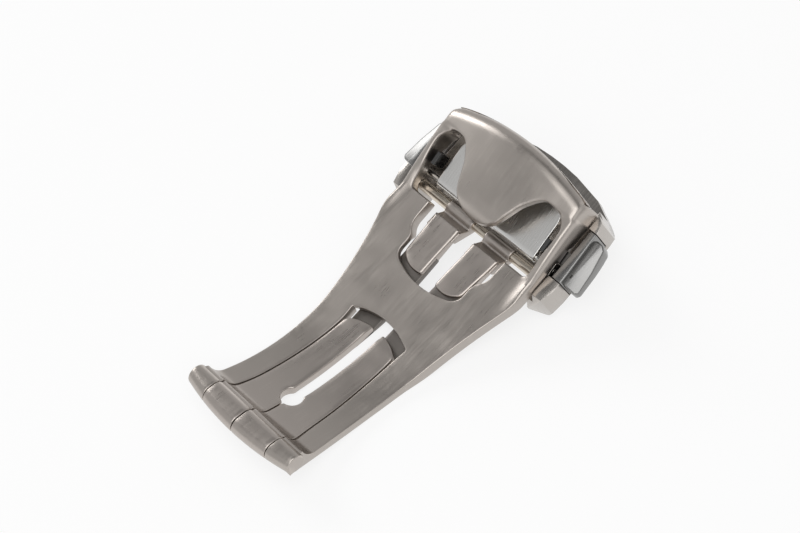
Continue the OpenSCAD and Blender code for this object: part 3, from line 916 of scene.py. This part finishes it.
LIP_V, LIP_TOP, LIP_R = 1.15, 0.75, 0.65
FLAP_LOW, BARREL_DROP = 0.05, 0.55
FLAP_HALF, FLAP_END = 7.3, 7.2
AXLE_POINTS, AXLE_HALF, AXLE_ROD_R, AXLE_CHAMFER = 32, 10.2, 0.5, 0.12
AXLE_SHARP_ABOVE = 40


def quarter(gap):
    """Height of a quarter circle, 1 at no gap and 0 at the lip's radius."""
    return np.sqrt(np.clip(1 - (np.clip(gap, 0, LIP_R) / LIP_R) ** 2, 0, 1))


def flap_top(x, v):
    return LIP_TOP - LIP_R * (1 - quarter(LIP_V + LIP_R - v))


def flap_low(x, v):
    """The leaf's underside, with the round barrel of its pin at the lip."""
    return FLAP_LOW - BARREL_DROP * (1 - smooth(1.9, 2.4, v)) * quarter(np.abs(LIP_V + LIP_R - v))


def build_flap():
    outline = curve([(-FLAP_HALF, LIP_V, 0.2), (FLAP_HALF, LIP_V, 0.2), (FLAP_HALF, FLAP_END, 1.5),
                     (-FLAP_HALF, FLAP_END, 1.5)])
    verts, faces = plate([outline], flap_top, flap_low, head, edge=0.08, low_edge=0.08, grid=0.2)
    make("flap_leaf", verts, faces, "flap_body", "flap", FLAP_PAINTED_SHEEN, ["strap_flap"])


def build_axle():
    """The head axle: a rod along x with chamfered ends."""
    turns = np.linspace(0, 2 * math.pi, AXLE_POINTS, endpoint=False)

    def ring(station):
        x, r = station
        return head(np.full(AXLE_POINTS, x), AXLE_V + r * np.cos(turns), AXLE_H + r * np.sin(turns))

    half, r, c = AXLE_HALF, AXLE_ROD_R, AXLE_CHAMFER
    stations = [(-half, r - c), (-half + c * 0.3, r - c * 0.3), (-half + c, r),
                (half - c, r), (half - c * 0.3, r - c * 0.3), (half, r - c)]
    verts, faces = swept(lambda s: np.zeros((AXLE_POINTS, 2)), stations, lambda s, loop: ring(s))
    make("axle_rod", verts, faces, "cover_body", "axle", AXLE, ["head_axle"], AXLE_SHARP_ABOVE)


def dress_nodes():
    """Procedural steel for the CAD nodes that stay."""
    look = {"mid_hinge_pin": PIN, "axle_spacers": AXLE, "flap_pin": PIN, "strap_post": PIN,
            "latch_hook_left": HOOK, "latch_hook_right": HOOK,
            "button_spring_left": WIRE, "button_spring_right": WIRE, "button_pins": PIN,
            "spring_bar_tube": PIN, "spring_bar_tip_left": PIN, "spring_bar_tip_right": PIN,
            "spring_bar_spring": WIRE}
    for name, material in look.items():
        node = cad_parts[name]
        node.data.materials.clear()
        node.data.materials.append(material)


# Stage: floor, light and camera

FLOOR_SHARE = 0.78     # how much of the floor is plain white; the rest takes the object's shadow
FLOOR_HALF = 3.0
# Level of the world over the upward part of a ray's direction
WORLD_LEVELS = ((0.0, 0.6), (0.3, 0.6), (0.5, 0.6), (0.7, 0.55), (0.8, 0.22), (0.92, 0.16), (1.0, 0.2))
LENS, SENSOR = 117, 36
CAMERA_PLACE = Vector((132.56, -65.20 + SHIFT, 216.00)) * MM
CAMERA_RIGHT = Vector((0.6614, 0.7420, -0.1096))
CAMERA_BACK = Vector((0.507, -0.3347, 0.7943))


def paper():
    """White paper: part of it plain white to camera, glossy and transmission rays, part of it lit."""
    mat = bpy.data.materials.new("paper")
    mat.use_nodes = True
    nodes, links = mat.node_tree.nodes, mat.node_tree.links
    lit = nodes["Principled BSDF"]
    lit.inputs["Base Color"].default_value = (0.93, 0.93, 0.93, 1)
    lit.inputs["Roughness"].default_value = 0.9
    lit.inputs["Specular IOR Level"].default_value = 0.1
    white = nodes.new("ShaderNodeEmission")
    white.inputs["Strength"].default_value = 1.0
    seen = nodes.new("ShaderNodeLightPath")
    share = None
    for kind in ("Is Camera Ray", "Is Glossy Ray", "Is Transmission Ray"):
        part = nodes.new("ShaderNodeMath")
        part.operation = "MULTIPLY_ADD"
        part.inputs[1].default_value = FLOOR_SHARE
        part.inputs[2].default_value = 0.0
        links.new(seen.outputs[kind], part.inputs[0])
        if share:
            links.new(share, part.inputs[2])
        share = part.outputs["Value"]
    blend = nodes.new("ShaderNodeMixShader")
    links.new(share, blend.inputs["Fac"])
    links.new(lit.outputs["BSDF"], blend.inputs[1])
    links.new(white.outputs["Emission"], blend.inputs[2])
    links.new(blend.outputs["Shader"], nodes["Material Output"].inputs["Surface"])
    return mat


def build_floor():
    s = FLOOR_HALF
    mesh = bpy.data.meshes.new("floor")
    mesh.from_pydata([(-s, -s, 0), (s, -s, 0), (s, s, 0), (-s, s, 0)], [], [(0, 1, 2, 3)])
    mesh.materials.append(paper())
    floor = bpy.data.objects.new("floor", mesh)
    bpy.context.scene.collection.objects.link(floor)


def build_world():
    world = bpy.data.worlds.new("studio")
    bpy.context.scene.world = world
    world.use_nodes = True
    nodes, links = world.node_tree.nodes, world.node_tree.links
    sky = nodes["Background"]
    where = nodes.new("ShaderNodeTexCoord")
    split = nodes.new("ShaderNodeSeparateXYZ")
    ramp = nodes.new("ShaderNodeValToRGB")
    links.new(where.outputs["Generated"], split.inputs["Vector"])
    links.new(split.outputs["Z"], ramp.inputs["Fac"])
    for position, grey in WORLD_LEVELS:
        stop = ramp.color_ramp.elements.new(position)
        stop.color = (grey, grey, grey, 1)
    ramp.color_ramp.elements.remove(ramp.color_ramp.elements[-1])
    ramp.color_ramp.elements.remove(ramp.color_ramp.elements[0])
    links.new(ramp.outputs["Color"], sky.inputs["Color"])
    sky.inputs["Strength"].default_value = 1.0


def lamp(name, place, size, power):
    """A white square lamp that faces the clasp; place and size are metres."""
    light = bpy.data.lights.new(name, "AREA")
    light.shape = "RECTANGLE"
    light.size = size
    light.size_y = size
    light.energy = power
    thing = bpy.data.objects.new(name, light)
    thing.location = place
    way = -Vector(place)
    thing.rotation_euler = way.to_track_quat("-Z", "Y").to_euler()
    bpy.context.scene.collection.objects.link(thing)


def build_camera():
    data = bpy.data.cameras.new("camera")
    data.sensor_width = SENSOR
    data.lens = LENS
    data.clip_start = 0.01
    data.clip_end = 20
    camera = bpy.data.objects.new("camera", data)
    right = CAMERA_RIGHT.normalized()
    back = CAMERA_BACK.normalized()
    up = back.cross(right).normalized()
    right = up.cross(back)
    turn = Matrix((right, up, back)).transposed().to_4x4()
    camera.matrix_world = Matrix.Translation(CAMERA_PLACE) @ turn
    bpy.context.scene.collection.objects.link(camera)
    bpy.context.scene.camera = camera


build_wrist_blade()
build_middle_blade()
build_cover()
build_button("right", 1)
build_button("left", -1)
build_flap()
build_axle()
dress_nodes()
build_floor()
build_world()
lamp("key", (-0.55, 0.0, 0.35), 0.3, 1.1)
lamp("front", (0.245, -0.245, 0.61), 0.7, 2.6)
build_camera()
bpy.context.scene.view_settings.view_transform = "Standard"
